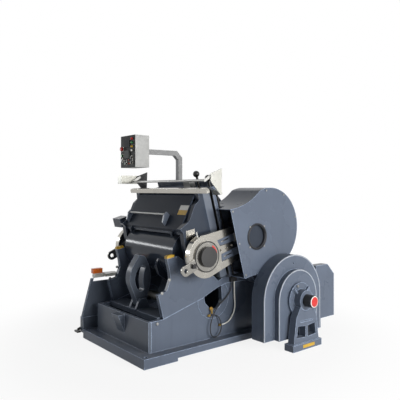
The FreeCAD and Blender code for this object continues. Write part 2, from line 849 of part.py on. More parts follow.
def bearing_housing():
    flange = tube_x(drive, flange_radius, step_outer, step_outer + flange_thick)
    nose = tube_x(drive, housing_radius, step_outer + flange_thick, pedestal_outer + 2)
    ribs = []
    for k in range(4):
        a = 45 + 90 * k
        near = [around(drive, housing_radius - 8, a - 5), around(drive, flange_radius - 8, a - 3),
                around(drive, flange_radius - 8, a + 3), around(drive, housing_radius - 8, a + 5)]
        ribs.append(prism(near, step_outer + flange_thick, step_outer + flange_thick + 22))
    bore = tube_x(drive, drive_shaft_radius + running_fit, step_outer, pedestal_outer + 2)
    low = block(step_outer + flange_thick, pedestal_outer, drive[0] - 200, drive[0] + 200, 0, drive[1] - 40)
    ribs = [r.cut(low) for r in ribs]
    return fused([flange, nose] + ribs[:2]).cut(bore)


def flange_bolts():
    bolts = [tube_x(around(drive, flange_radius - 22, 90 * k + 20), 12.0,
                    step_outer + flange_thick, step_outer + flange_thick + 12) for k in range(2)]
    return bolts


def pedestal():
    y = drive[0]
    h = pedestal_foot
    foot = block(pedestal_inner - 20, pedestal_outer + 16, y - pedestal_half, y + pedestal_half, 0, h)
    side = [(y - 183, h), (y - 145, 310), (y - 85, 400), (y + 85, 400), (y + 145, 310), (y + 183, h)]
    body = fused([foot, prism(side, pedestal_inner, pedestal_outer)])
    for s in (-1, 1):
        window = [(y + s * 18, 112), (y + s * 14, 216), (y + s * 122, 226), (y + s * 140, 118)]
        body = body.cut(prism(window, pedestal_inner - 1, pedestal_outer + 1))
    body = body.cut(block(pedestal_outer - 10, pedestal_outer, y - 90, y + 90, 256, 270))
    return body.cut(tube_x(drive, housing_radius, pedestal_inner, pedestal_outer))


def end_cap():
    cup = tube_x(drive, end_cap_radius, pedestal_outer + 2, cap_end)
    return cup.cut(tube_x(drive, end_cap_radius - 8, pedestal_outer + 2, cap_end - 8))


def arm_place():
    return (fy(arm_pivot_from_front), arm_pivot_height)


def link_arm():
    """Curved casting with a slot, hinged at its foot in front of the platen."""
    foot = arm_place()
    wire = outline((foot[0] - 48, foot[1]), [
        ("line", (fy(192), 600.0)), ("arc", (fy(185), 690.0), (fy(230), 796.0)), ("line", (fy(286), 878.0)),
        ("line", (fy(340), 868.0)), ("arc", (fy(405), 735.0), (fy(412), 610.0)),
        ("line", (foot[0] + 48, foot[1])), ("arc", (foot[0], foot[1] - 48), (foot[0] - 48, foot[1]))])
    slot = outline((fy(290), 765.0), [
        ("arc", (fy(238), 655.0), (fy(276), 545.0)), ("arc", (fy(308), 528.0), (fy(338), 550.0)),
        ("arc", (fy(328), 655.0), (fy(352), 750.0)), ("arc", (fy(325), 780.0), (fy(290), 765.0))])
    body = slab(wire, -arm_half, arm_half).cut(slab(slot, -arm_half, arm_half))
    return body.cut(tube_x(foot, arm_pin_radius + running_fit, -arm_half, arm_half))


def arm_fork():
    """Fork bolted on the cross beam that holds the pin of the link arm."""
    foot = arm_place()
    beam_top = arm_pivot_height - 60
    inner = arm_half + side_gap
    cheek = prism([(foot[0] - 80, beam_top), (foot[0] - 36, foot[1] + 36), (foot[0] + 36, foot[1] + 36),
                   (foot[0] + 80, beam_top)], inner, inner + fork_thick)
    sole = block(-inner - fork_thick, inner + fork_thick, foot[0] - 95, foot[0] + 85, beam_top, beam_top + 10)
    body = fused([cheek, mirrored(cheek), sole])
    hole = tube_x(foot, arm_pin_radius, -inner - fork_thick, inner + fork_thick)
    return fused([body.cut(hole), hole])


def buffer_blocks():
    y, z = cheek_low
    rise = (cheek_high[1] - z) / (cheek_high[0] - y) * buffer_length
    end = y + buffer_length
    points = [(fy(y), z), (fy(y), z + buffer_thick), (fy(y + 16), z + buffer_thick + 9),
              (fy(end), z + rise + buffer_thick + 1.5), (fy(end), z + rise)]
    return both_sides(prism(points, wall_in, wall_x))


def mast():
    """Square post with a mitred corner and an arm running forward to the control box."""
    y = fy(mast_from_front)
    s = mast_side / 2
    cut = 70.0
    foot = press(bed_back, 500)[1] - 60
    rear_of_box = fy(box_from_front) + box_deep
    points = [(y - s, foot), (y + s, foot), (y + s, mast_top - cut + s), (y - cut + s, mast_top + s),
              (rear_of_box, mast_top + s), (rear_of_box, mast_top - s), (y - cut, mast_top - s),
              (y - s, mast_top - cut)]
    return prism(points, mast_place - s, mast_place + s)


def mast_socket():
    y = fy(mast_from_front)
    top = press(bed_back, 500)[1] - 60
    low = press(bed_back, 330)
    high = press_at_height(top)
    return prism([high, low, (y + 40, low[1] + 40), (y + 40, top)], mast_place - 60, mast_place + 60)


def press_at_height(z):
    """Place on the rear face of the bed at a height."""
    u = (z - press(bed_back, 0)[1]) / math.cos(math.radians(bed_lean))
    return press(bed_back, u)


def control_box():
    x0 = mast_place - box_wide / 2
    y0 = fy(box_from_front) + face_thick
    y1 = fy(box_from_front) + box_deep
    outer = block(x0, x0 + box_wide, y0, y1, box_base, box_base + box_high)
    t = box_sheet
    return outer.cut(block(x0 + t, x0 + box_wide - t, y0, y1 - t, box_base + t, box_base + box_high - t))


buttons = {
    "stop_button": (-98.0, 30.0, 20.0),
    "start_button": (-98.0, -38.0, 14.0),
    "jog_button": (-98.0, -82.0, 14.0),
    "reset_button": (-20.0, -118.0, 11.0),
}
selectors = {"mode_selector": (84.0, -62.0, 14.0), "delay_selector": (84.0, -112.0, 14.0)}
lamps = [(84.0, 122.0), (84.0, 84.0), (84.0, 46.0), (84.0, 8.0)]


def face_place(dx, dz):
    return (mast_place + dx, box_base + box_high / 2 + dz)


def rod_y(x, z, radius, y0, y1):
    return Part.makeCylinder(radius, y1 - y0, vec(x, y0, z), vec(0, 1, 0))


def control_face():
    x0 = mast_place - box_wide / 2
    y0 = fy(box_from_front)
    body = block(x0, x0 + box_wide, y0, y0 + face_thick, box_base, box_base + box_high)
    for dx, dz, radius in list(buttons.values()) + list(selectors.values()):
        x, z = face_place(dx, dz)
        body = body.cut(rod_y(x, z, stem_radius + running_fit, y0, y0 + face_thick))
    return body


def push_button(dx, dz, radius):
    """Head standing off the panel by its travel, on a stem through the panel."""
    x, z = face_place(dx, dz)
    y0 = fy(box_from_front)
    head = rod_y(x, z, radius, y0 - button_travel - button_gap - 16, y0 - button_travel - button_gap)
    return fused([head, rod_y(x, z, stem_radius, y0 - button_travel - button_gap - 1, y0 + face_thick + 22)])


def selector(dx, dz, radius):
    x, z = face_place(dx, dz)
    y0 = fy(box_from_front)
    disc = rod_y(x, z, radius, y0 - button_gap - 8, y0 - button_gap)
    grip = block(x - 4, x + 4, y0 - button_gap - 20, y0 - button_gap - 7, z - radius + 1, z + radius - 1)
    return fused([disc, grip, rod_y(x, z, stem_radius, y0 - button_gap - 1, y0 + face_thick + 18)])


def pilot_lamps():
    y0 = fy(box_from_front)
    return Part.makeCompound([rod_y(face_place(*p)[0], face_place(*p)[1], 11.0, y0 - 12, y0) for p in lamps])


def display_modules():
    y0 = fy(box_from_front)
    meter = block(mast_place - 55, mast_place + 45, y0 - 8, y0, box_base + 200, box_base + 270)
    timer = block(mast_place - 50, mast_place + 40, y0 - 14, y0, box_base + 92, box_base + 168)
    return Part.makeCompound([meter, timer])


def rail_plate():
    """Upright plate beside the bed top that holds one end of the safety rail."""
    py = fy(rail_pivot_from_front)
    pz = rail_pivot_height
    x0 = rail_half - rail_plate_thick
    points = [(py - 30, pz - 60), (py - 30, pz + 10), (py + 105, pz + 60),
              press(bed_flange_back, table_high - 10), press(bed_flange_back, table_high - 60),
              press(bed_face + 14, table_high - 60)]
    body = prism(points, x0, rail_half)
    foot = leaning(bed_face + chase_thick, bed_flange_back, table_high - 60, table_high - 15,
                   table_half, x0 + 1)
    hole = tube_x((py, pz), rail_pin_radius + running_fit, x0, rail_half)
    return fused([body, foot]).cut(hole)


def switch_box():
    """Limit switch box on the outer face of the left rail plate."""
    y = fy(rail_pivot_from_front)
    z = rail_height
    return block(-rail_half - switch_wide, -rail_half, y - 220, y - 10, z - 20, z + 70)


def safety_rail():
    """Round rail on two arms that lifts about pins in the rail plates."""
    rail = (fy(rail_from_front), rail_height)
    pin = (fy(rail_pivot_from_front), rail_pivot_height)
    a = heading(rail, pin) + 90
    out = rail_half - rail_plate_thick - side_gap
    arm = [around(rail, 12, a), around(pin, 14, a), around(pin, 14, a + 180), around(rail, 12, a + 180)]
    end = fused([prism(arm, out - 10, out), tube_x(pin, 14, out - 10, out),
                 tube_x(rail, rail_radius + 3, out - 10, out),
                 tube_x(pin, rail_pin_radius, out - 1, rail_half)])
    return fused([tube_x(rail, rail_radius, -out + 1, out - 1), end, mirrored(end)])


def clamp_box():
    """Chase clamp body on the bed top, with its post."""
    u0 = table_high
    body = leaning(bed_face + 20, bed_face + 90, u0, u0 + 70, 100, 200)
    return body


def clamp_knob(x, tall):
    """Ball handle on a post of the given height."""
    place = press(bed_face + 55, table_high)
    up = vec(0, press(0, 1)[0] - press(0, 0)[0], press(0, 1)[1] - press(0, 0)[1])
    start = vec(x, place[0], place[1])
    post = Part.makeCylinder(12.0, tall, start, up)
    ball = Part.makeSphere(32.0, start + up * (tall + 22))
    return fused([post, ball])


def guard_box():
    """Pedal box on the left of the base, with its sloping guard sheet and post."""
    outer = -base_width / 2
    body = block(outer - 65, outer, fy(0), fy(185), 50, 205)
    sheet = prism([(fy(5), 200.0), (fy(100), 560.0), (fy(330), 560.0), (fy(330), 200.0)], outer - 12, outer - 4)
    post = prism([(fy(-12), 195.0), (fy(96), 590.0), (fy(120), 590.0), (fy(14), 195.0)], outer - 32, outer - 4)
    return fused([body, sheet, post]).cut(tube_x((fy(95), 120.0), 12 + running_fit, outer - 65, outer - 35))


def foot_pedal():
    outer = -base_width / 2
    pin = (fy(95), 120.0)
    x0 = outer - 65 - side_gap - 12
    arm = [(pin[0] + 20, pin[1] - 16), (pin[0] + 20, pin[1] + 18), (fy(-30), 84.0), (fy(-30), 58.0)]
    tread = block(x0, outer - 5, fy(-60), fy(-22), 58, 74)
    return fused([prism(arm, x0, x0 + 12), tread, tube_x(pin, 12, x0, outer - 36)])


def lubricator():
    """Oil cup and its bracket at the front of the left cheek."""
    x1 = -wall_x
    bracket = block(x1 - 110, x1, fy(200), fy(350), 612, 642)
    cup = Part.makeCylinder(24.0, 120.0, vec(x1 - 84, fy(102), 622), vec(0, 1, 0))
    return fused([bracket, cup])


def lubricator_cap():
    x1 = -wall_x
    top = block(x1 - 108, x1 - 60, fy(90), fy(194), 646, 694)
    return fused([top, block(x1 - 100, x1 - 68, fy(112), fy(186), 640, 646)])


def pipe_fittings():
    """Drain tap in the middle, and the two small glands where the cable and the hose enter the wall."""
    y = fy(800)
    z = 375.0
    x0 = wall_x + window_boss_raise
    tap = fused([tube_x((y, z), 11.0, x0, x0 + 34), tube_x((y, z), 17.0, x0 + 8, x0 + 20),
                 block(x0 + 18, x0 + 32, y - 7, y + 7, z - 46, z)])
    glands = []
    for end in (cable_points[-1], hose_points[-1]):
        glands.append(block(wall_x, end.x + 9, end.y - 22, end.y, end.z - 10, end.z + 10))
    boss = block(wall_x, x0, fy(0), fy(906), 0, wall_top_rear)
    return Part.makeCompound([tap] + [g.cut(boss) for g in glands])


def rounded_path(points, share=0.45):
    """Straight runs joined by tangent arcs; the radius follows the shorter run and the turn."""
    radii = []
    edges = []
    start = points[0]
    for before, here, after in zip(points, points[1:], points[2:]):
        a = (before - here).normalize()
        b = (after - here).normalize()
        turn = math.pi - a.getAngle(b)
        shorter = min(here.distanceToPoint(before), here.distanceToPoint(after))
        radius = share * shorter / math.tan(turn / 2)
        back = radius * math.tan(turn / 2)
        p = here + a * back
        q = here + b * back
        inward = (a + b).normalize()
        middle = here + inward * (radius / math.cos(turn / 2) - radius)
        edges.append(Part.LineSegment(start, p).toShape())
        edges.append(Part.Arc(p, middle, q).toShape())
        radii.append(round(radius, 1))
        start = q
    edges.append(Part.LineSegment(start, points[-1]).toShape())
    return Part.Wire(edges), radii


def cord(name, points, radius):
    path, radii = rounded_path(points)
    first = (points[1] - points[0]).normalize()
    ring = Part.Wire([Part.makeCircle(radius, points[0], first)])
    body = path.makePipeShell([ring], True, True)
    full = math.pi * radius * radius * path.Length
    share = round(body.Volume / full, 4)
    print(name, "length", round(path.Length, 1), "bend radii", radii, "volume share", share)
    return body


conduit_x = wall_x + conduit_radius + 2
cord_x = conduit_x + conduit_radius

conduit_points = [press(bed_back - conduit_set, 500), press(bed_back - conduit_set, -120), (fy(1075), 645.0)]


def conduits():
    """Two armoured leads clipped down the side of the bed."""
    leads = []
    for shift in (0.0, 26.0):
        points = [vec(conduit_x, y + shift, z) for y, z in conduit_points]
        leads.append(cord("conduit", points, conduit_radius))
    return Part.makeCompound(leads + conduit_clips())


def conduit_clips():
    clips = []
    for u in (430, 150, -60):
        y, z = press(bed_back - conduit_set, u)
        clips.append(block(wall_x, wall_x + 4, y - 16, y + 44, z - 9, z + 9))
    clips.append(block(wall_x, wall_x + 26, fy(1050), fy(1130), 600, 645))
    return clips


cable_points = [vec(cord_x, fy(1068), 600), vec(cord_x, fy(1068), 500), vec(cord_x + 8, fy(850), 375),
                vec(cord_x + 14, fy(770), 215), vec(cord_x + 16, fy(790), 110), vec(cord_x + 18, fy(870), 98),
                vec(cord_x + 16, fy(925), 180), vec(cord_x + 6, fy(900), 280), vec(wall_x + 14, fy(850), 312),
                vec(wall_x + 14, fy(790), 312)]
hose_points = [vec(cord_x, fy(1098), 600), vec(cord_x, fy(1098), 480), vec(cord_x + 6, fy(1108), 330),
               vec(cord_x, fy(1040), 225), vec(wall_x + 14, fy(980), 200), vec(wall_x + 14, fy(930), 200)]


def frame_bolts():
    """Hexagon bolts on the cheeks and the lower walls."""
    bolts = []
    for y, z in ((fy(330), 700.0), (fy(250), 590.0), (fy(200), 330.0)):
        ring = [around((y, z), 14.0, 60 * k) for k in range(6)]
        bolts.append(prism(ring, wall_x, wing_in - bolt_clear))
    return bolts + [mirrored(b) for b in bolts]


def rear_cover():
    """Sheet that closes the back between the side frames."""
    return block(-wall_in, wall_in, wall_rear - 4, wall_rear, wall_top_rear, crank[1])


def counter_shaft():
    """Shaft across the machine with a pinion at each end and the wheel that the drive pinion turns."""
    body = tube_x(counter, counter_shaft_radius, -gear_outer, gear_outer)
    return fused([body, counter_pinion(), mirrored(counter_pinion()), counter_gear()])


def drive_shaft():
    shaft = tube_x(drive, drive_shaft_radius, counter_inner - 15, cap_end - 50)
    return fused([shaft, drive_pinion()])


nodes = {
    "base_frame": base_frame(),
    "front_sill": front_sill(),
    "cross_members": Part.makeCompound([cross_beam(), rear_sill(), rear_cover()]),
    "lower_walls": Part.makeCompound([lower_wall(True), mirrored(lower_wall(False))]),
    "side_frames": both_sides(side_frame()),
    "die_bed": die_bed(),
    "chase_plate": chase_plate(),
    "pivot_shaft": tube_x(pivot, pivot_radius, -wall_in - pivot_end_seat, wall_in + pivot_end_seat),
    "shaft_bushes": bushes(),
    "fasteners": Part.makeCompound(frame_bolts() + cover_screws() + flange_bolts()),
    "buffer_blocks": buffer_blocks(),
    "arm_fork": arm_fork(),
    "right_gear_cover": gear_cover(),
    "left_gear_cover": mirrored(gear_cover()),
    "flywheel_cover": fused([flywheel_cover(), drum_back()]),
    "belt_guard": belt_guard(),
    "drive_belts": drive_belts(),
    "motor_body": motor_body(),
    "motor_bracket": motor_bracket(),
    "bearing_housing": bearing_housing(),
    "pedestal": pedestal(),
    "end_cap": end_cap(),
    "mast": fused([mast(), mast_socket()]),
    "control_box": control_box(),
    "control_face": control_face(),
    "pilot_lamps": pilot_lamps(),
    "display_modules": display_modules(),
    "rail_plates": Part.makeCompound([rail_plate(), fused([mirrored(rail_plate()), switch_box()])]),
    "chase_clamps": Part.makeCompound([clamp_box(), clamp_knob(295, 115), clamp_knob(460, 70)]),
    "guard_box": guard_box(),
    "lubricator": Part.makeCompound([lubricator(), lubricator_cap()]),
    "pipe_fittings": pipe_fittings(),
    "conduits": conduits(),
    "control_cable": cord("control_cable", cable_points, cable_radius),
    "oil_hose": cord("oil_hose", hose_points, hose_radius),
    "platen_casting": platen_casting(),
    "platen_table": platen_table(),
    "back_panel": fused([back_panel()] + panel_stays()),
    "top_bar": top_bar(),
    "grab_rail": fused(rail_clamps() + [grab_rod()]),
    "trunnion_caps": both_sides(trunnion_cap()),
    "right_rod": connecting_rod(),
    "left_rod": mirrored(connecting_rod()),
    "right_lever": throw_off_lever(),
    "left_lever": mirrored(throw_off_lever()),
    "main_shaft": tube_x(crank, main_shaft_radius, -gear_outer, gear_outer),
    "main_gears": both_sides(main_gear()),
    "counter_shaft": counter_shaft(),
    "drive_shaft": drive_shaft(),
    "flywheel": flywheel(),
    "motor_pulley": motor_pulley(),
    "link_arm": link_arm(),
    "foot_pedal": foot_pedal(),
    "safety_rail": safety_rail(),
}
for name, place in buttons.items():
    nodes[name] = push_button(*place)
for name, place in selectors.items():
    nodes[name] = selector(*place)
for name, shape in nodes.items():
    save(name, shape)
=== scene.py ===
import bpy
import math
import numpy as np
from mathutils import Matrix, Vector


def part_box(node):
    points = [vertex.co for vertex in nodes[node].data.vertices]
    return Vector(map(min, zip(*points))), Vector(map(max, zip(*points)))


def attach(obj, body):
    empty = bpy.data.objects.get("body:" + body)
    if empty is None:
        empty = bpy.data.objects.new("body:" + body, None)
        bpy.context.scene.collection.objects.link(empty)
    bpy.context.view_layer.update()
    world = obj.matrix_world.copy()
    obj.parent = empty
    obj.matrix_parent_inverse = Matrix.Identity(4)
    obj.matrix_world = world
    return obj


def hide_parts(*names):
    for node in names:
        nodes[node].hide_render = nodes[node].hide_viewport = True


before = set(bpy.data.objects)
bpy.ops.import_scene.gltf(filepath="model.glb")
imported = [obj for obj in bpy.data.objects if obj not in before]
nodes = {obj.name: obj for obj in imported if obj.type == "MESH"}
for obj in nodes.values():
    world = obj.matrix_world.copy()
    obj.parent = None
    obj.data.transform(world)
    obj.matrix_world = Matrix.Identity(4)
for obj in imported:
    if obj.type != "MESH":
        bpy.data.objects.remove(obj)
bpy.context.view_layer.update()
print("frame loaded", len(nodes), "nodes")


# shader helpers
class Sock:
    def __init__(self, web, socket):
        self.web = web
        self.socket = socket

    def maths(self, operation, other=None, third=None):
        values = {0: self, 1: other, 2: third}
        return self.web.node("ShaderNodeMath", {"operation": operation}, values)

    def __add__(self, other):
        return self.maths("ADD", other)

    def __sub__(self, other):
        return self.maths("SUBTRACT", other)

    def __rsub__(self, other):
        return self.maths("MULTIPLY_ADD", -1.0, other)

    def __mul__(self, other):
        return self.maths("MULTIPLY", other)

    def __pow__(self, other):
        return self.maths("POWER", other)

    def __gt__(self, other):
        return self.maths("GREATER_THAN", other)

    __radd__ = __add__
    __rmul__ = __mul__

    def ramp(self, low, high):  # 0 below low, 1 above high, smooth between
        values = {"Value": self, "From Min": low, "From Max": high}
        return self.web.node("ShaderNodeMapRange", {"interpolation_type": "SMOOTHSTEP"}, values)


class Web:  # the nodes of a material or of the world
    def __init__(self, tree):
        self.tree = tree

    def node(self, kind, settings=None, values=None, output=0):
        made = self.tree.nodes.new(kind)
        for key, value in (settings or {}).items():
            setattr(made, key, value)
        for key, value in (values or {}).items():
            if isinstance(value, Sock):
                self.tree.links.new(value.socket, made.inputs[key])
            elif value is not None:
                made.inputs[key].default_value = value
        return Sock(self, made.outputs[output])

    def end(self, output, result):
        self.tree.links.new(result.socket, self.tree.nodes[output].inputs[0])


class Look(Web):
    def __init__(self, name):
        self.material = bpy.data.materials.new(name)
        self.material.use_nodes = True
        super().__init__(self.material.node_tree)
        self.shader = self.tree.nodes["Principled BSDF"]
        self.place = self.node("ShaderNodeTexCoord", output="Object")
        self.x, self.y, self.z = (
            self.node("ShaderNodeSeparateXYZ", {}, {0: self.place}, output=axis)
            for axis in range(3))

    def noise(self, scale, detail=4.0, stretch=(1.0, 1.0, 1.0)):
        scaled = {0: self.place, 1: stretch}
        where = self.node("ShaderNodeVectorMath", {"operation": "MULTIPLY"}, scaled)
        values = {"Vector": where, "Scale": scale, "Detail": detail}
        return self.node("ShaderNodeTexNoise", {}, values)

    def mix(self, amount, first, second):
        first, second = (tone if isinstance(tone, Sock) else (*tone, 1.0)
                         for tone in (first, second))
        values = {0: amount, 6: first, 7: second}
        return self.node("ShaderNodeMix", {"data_type": "RGBA"}, values, output=2)

    def facing(self, axis):  # one component of the surface normal
        normal = self.node("ShaderNodeNewGeometry", output="Normal")
        return self.node("ShaderNodeSeparateXYZ", {}, {0: normal}, output=axis)

    def set(self, key, value):
        if isinstance(value, Sock):
            self.tree.links.new(value.socket, self.shader.inputs[key])
        else:
            self.shader.inputs[key].default_value = value

    def edges(self, radius):  # 1 on a sharp edge, 0 on a flat face
        soft = self.node("ShaderNodeBevel", {"samples": 6}, {"Radius": radius})
        flat = self.node("ShaderNodeNewGeometry", output="True Normal")
        pair = {0: soft, 1: flat}
        meet = self.node("ShaderNodeVectorMath", {"operation": "DOT_PRODUCT"}, pair, output="Value")
        return (1.0 - meet).ramp(0.01, 0.16)

    def bump(self, height, strength, distance=0.002, soften=0.0):
        values = {"Height": height, "Strength": strength, "Distance": distance}
        if soften > 0:
            values["Normal"] = self.node("ShaderNodeBevel", {"samples": 4}, {"Radius": soften})
        self.set("Normal", self.node("ShaderNodeBump", {}, values))


def linear(red, green, blue):  # screen 0..255 to linear light
    share = np.array([red, green, blue]) / 255.0
    return tuple(np.where(share <= 0.04045, share / 12.92, ((share + 0.055) / 1.055) ** 2.4))


def times(tone, factor, top=1.0):
    return tuple(min(c * factor, top) for c in tone)


# paint tones; the edge values set the lightened edges, part wear and part painted highlight
coat = {"dark": 0.94, "pale": 1.06, "run": 0.5, "dust": (150, 148, 142),
        "chip": (70, 66, 60), "chipShare": 0.6, "edge": 0.009, "edgeHighlightShare": 0.75,
        "edgeHighlightGain": 5.0, "edgeHighlightTop": 0.8, "soften": 0.004}


def paint(name, colour, rough=0.33, dusty=0.12, streak=0.16, shine=0.22):
    look = Look(name)
    base = linear(*colour)
    cloud = look.noise(2.2, detail=5.0)
    runs = look.noise(6.0, detail=3.0, stretch=(3.0, 3.0, 0.25))
    tone = look.mix(cloud.ramp(0.35, 0.7), times(base, coat["dark"]), times(base, coat["pale"]))
    tone = look.mix(runs.ramp(0.5, 0.8) * streak, tone, times(base, coat["run"]))
    dust = look.facing(2).ramp(0.55, 1.0) * dusty * look.noise(9.0).ramp(0.3, 0.7)
    tone = look.mix(dust, tone, linear(*coat["dust"]))
    chips = look.noise(38.0, detail=6.0).ramp(0.72, 0.76)
    tone = look.mix(chips * coat["chipShare"], tone, linear(*coat["chip"]))
    # sharp edges lightened up to five times the base tone, gated by noise: partly worn paint,
    # partly a painted highlight where edges catch the light
    wearAndHighlight = look.edges(coat["edge"]) * look.noise(11.0).ramp(0.2, 0.5)
    bright = times(base, coat["edgeHighlightGain"], coat["edgeHighlightTop"])
    tone = look.mix(wearAndHighlight * coat["edgeHighlightShare"], tone, bright)
    look.set("Base Color", tone)
    look.set("Roughness", rough + (cloud - 0.5) * 0.1 + dust * 0.4)
    look.set("Specular IOR Level", shine)
    peel = look.noise(170.0, detail=2.0) + look.noise(24.0, detail=3.0) * 1.4
    look.bump(peel, strength=0.16, distance=0.0016, soften=coat["soften"])
    return look.material


metal = {"grainDark": 0.82, "spotDark": 0.42, "spotShare": 0.25, "black": (24, 24, 25),
         "soften": 0.003}


def steel(name, colour, rough, grain=(1.0, 30.0, 30.0), paintPast=9.0,
          paintTone=metal["black"]):  # painted further than paintPast from the middle plane
    look = Look(name)
    base = linear(*colour)
    lines = look.noise(42.0, detail=3.0, stretch=grain)
    spots = look.noise(7.0, detail=6.0).ramp(0.52, 0.78)
    tone = look.mix(lines.ramp(0.3, 0.7), times(base, metal["grainDark"]), base)
    painted = look.x.maths("ABSOLUTE") > paintPast
    stained = look.mix(spots * metal["spotShare"], tone, times(base, metal["spotDark"]))
    look.set("Base Color", look.mix(painted, stained, linear(*paintTone)))
    look.set("Metallic", 1.0 - painted)
    look.set("Roughness", rough + (lines - 0.5) * 0.16 + spots * 0.18)
    look.bump(lines, strength=0.08, distance=0.0006, soften=metal["soften"])
    return look.material


moulding = {"dark": 0.8, "bandDark": 0.85, "relief": 0.0008, "soften": 0.0015}


def plastic(name, colour, rough=0.42, grain=220.0, shine=0.5):
    look = Look(name)
    base = linear(*colour)
    cloud = look.noise(14.0)
    look.set("Base Color", look.mix(cloud.ramp(0.3, 0.75), times(base, moulding["dark"]), base))
    look.set("Roughness", rough + (cloud - 0.5) * 0.2)
    look.set("Specular IOR Level", shine)
    look.bump(look.noise(grain, detail=2.0), 0.12, moulding["relief"], moulding["soften"])
    return look.material


def twoTone(name, bands, axis, rough=0.35, metallic=0.0, shine=0.5):
    # bands of colour along one axis, each from its start in metres
    look = Look(name)
    where = (look.x, look.y, look.z)[axis]
    first = linear(*bands[0][1])
    tone = look.mix(look.noise(20.0).ramp(0.3, 0.7), first, times(first, moulding["bandDark"]))
    for start, colour in bands[1:]:
        tone = look.mix(where > start, tone, linear(*colour))
    look.set("Base Color", tone)
    look.set("Roughness", rough + (look.noise(30.0) - 0.5) * 0.15)
    look.set("Metallic", metallic)
    look.set("Specular IOR Level", shine)
    look.bump(look.noise(160.0, detail=2.0), 0.1, moulding["relief"], moulding["soften"])
    return look.material


def sleeve(name, colour, pitch):  # ribbed conduit, rings along its height
    look = Look(name)
    base = linear(*colour)
    ring = (look.z * (2 * math.pi / pitch)).maths("SINE")
    # troughs between the rings darkened to half the base tone: painted shade in the creases
    look.set("Base Color", look.mix(ring.ramp(-1.0, 1.0), times(base, 0.5), base))
    look.set("Roughness", 0.45 + look.noise(40.0) * 0.2)
    look.bump(ring, strength=0.6)
    return look.material


slate = paint("slatePaint", (88, 97, 112), rough=0.28)
# darker copy of the slate paint for the platen casting: painted shade on its front-facing faces
shadedSlate = paint("shadedSlate", (54, 61, 73), rough=0.15)
# paler copy of the slate paint for the rolled edges: painted highlight
highlightEdgePaint = paint("highlightEdgePaint", (150, 158, 170), rough=0.2)
frontPaint = paint("frontPaint", (88, 96, 108), rough=0.3)
basePaint = paint("basePaint", (86, 95, 110), rough=0.34, dusty=0.2)
# darker slate for the floor of the sight recess: painted shade
shadedWellPaint = paint("shadedWellPaint", (48, 54, 64), rough=0.35, dusty=0.05, streak=0.1, shine=0.12)
# near-black for the sight's own dark ring, carried down its inner wall as painted shade
darkRimAndShadePaint = paint("darkRimAndShadePaint", (22, 23, 26), rough=0.3, dusty=0.05, streak=0.1)
# darker copy of the slate paint for the back panel: painted shade on its front face
shadedPanelPaint = paint("shadedPanelPaint", (36, 42, 52), rough=0.4, dusty=0.1, streak=0.1, shine=0.1)
polished = steel("polishedSteel", (176, 173, 166), rough=0.2)
leverSteel = steel("leverSteel", (150, 148, 143), rough=0.22, paintPast=0.6652)
tableSteel = steel("tableSteel", (140, 140, 138), rough=0.34, paintPast=0.5396,
                   paintTone=(84, 92, 105))
machined = steel("machinedSteel", (150, 150, 148), rough=0.36)
iron = steel("castIron", (84, 84, 84), rough=0.5, grain=(4.0, 4.0, 4.0))
bronze = steel("bronze", (190, 150, 84), rough=0.34)
brass = steel("brass", (206, 170, 96), rough=0.28)
black = plastic("blackPlastic", (26, 26, 27), rough=0.4)
rubber = plastic("rubber", (20, 20, 21), rough=0.6, grain=120.0)
boxGrey = plastic("boxGrey", (172, 173, 172), rough=0.5, grain=90.0)
mastGrey = plastic("mastGrey", (146, 147, 148), rough=0.5, grain=90.0, shine=0.3)
faceBlack = plastic("faceBlack", (46, 47, 46), rough=0.6, shine=0.12)
yellow = plastic("yellowPad", (196, 156, 44), rough=0.4)
hoseWhite = plastic("hoseWhite", (206, 206, 200), rough=0.3)
red = plastic("redPlastic", (196, 32, 26), rough=0.3)
green = plastic("greenPlastic", (28, 132, 62), rough=0.3)
white = plastic("whitePlastic", (226, 226, 222), rough=0.32)
conduitLook = sleeve("conduitSleeve", (38, 38, 40), pitch=0.012)
toneBands = {
    "lamp": [(0.0, (222, 222, 214)), (1.91, (214, 176, 48)), (1.945, (40, 150, 70)),
             (1.985, (206, 36, 28))],
    "module": [(0.0, (96, 100, 98)), (1.9, (26, 28, 30))],
    "plate": [(-9.0, (178, 178, 170)), (-0.639, (34, 35, 37)), (0.0, (176, 176, 170))],
    "cup": [(0.0, (214, 213, 205)), (0.645, (222, 108, 34))],
    "clamp": [(0.0, (168, 169, 168)), (0.25, (22, 22, 23))],
    "grab": [(-9.0, (96, 105, 120)), (-0.427, (190, 190, 186)), (0.2151, (96, 105, 120))],
}
lampLook = twoTone("lampLens", toneBands["lamp"], axis=2, rough=0.15)
moduleLook = twoTone("modules", toneBands["module"], axis=2, rough=0.6, shine=0.1)
plateLook = twoTone("railPlates", toneBands["plate"], axis=0, rough=0.3, metallic=0.35)
cupLook = twoTone("oilCup", toneBands["cup"], axis=2, rough=0.3)
clampLook = twoTone("clampTones", toneBands["clamp"], axis=0, rough=0.32, metallic=0.25)
railLook = twoTone("grabTones", toneBands["grab"], axis=0, rough=0.3)
print("materials made")

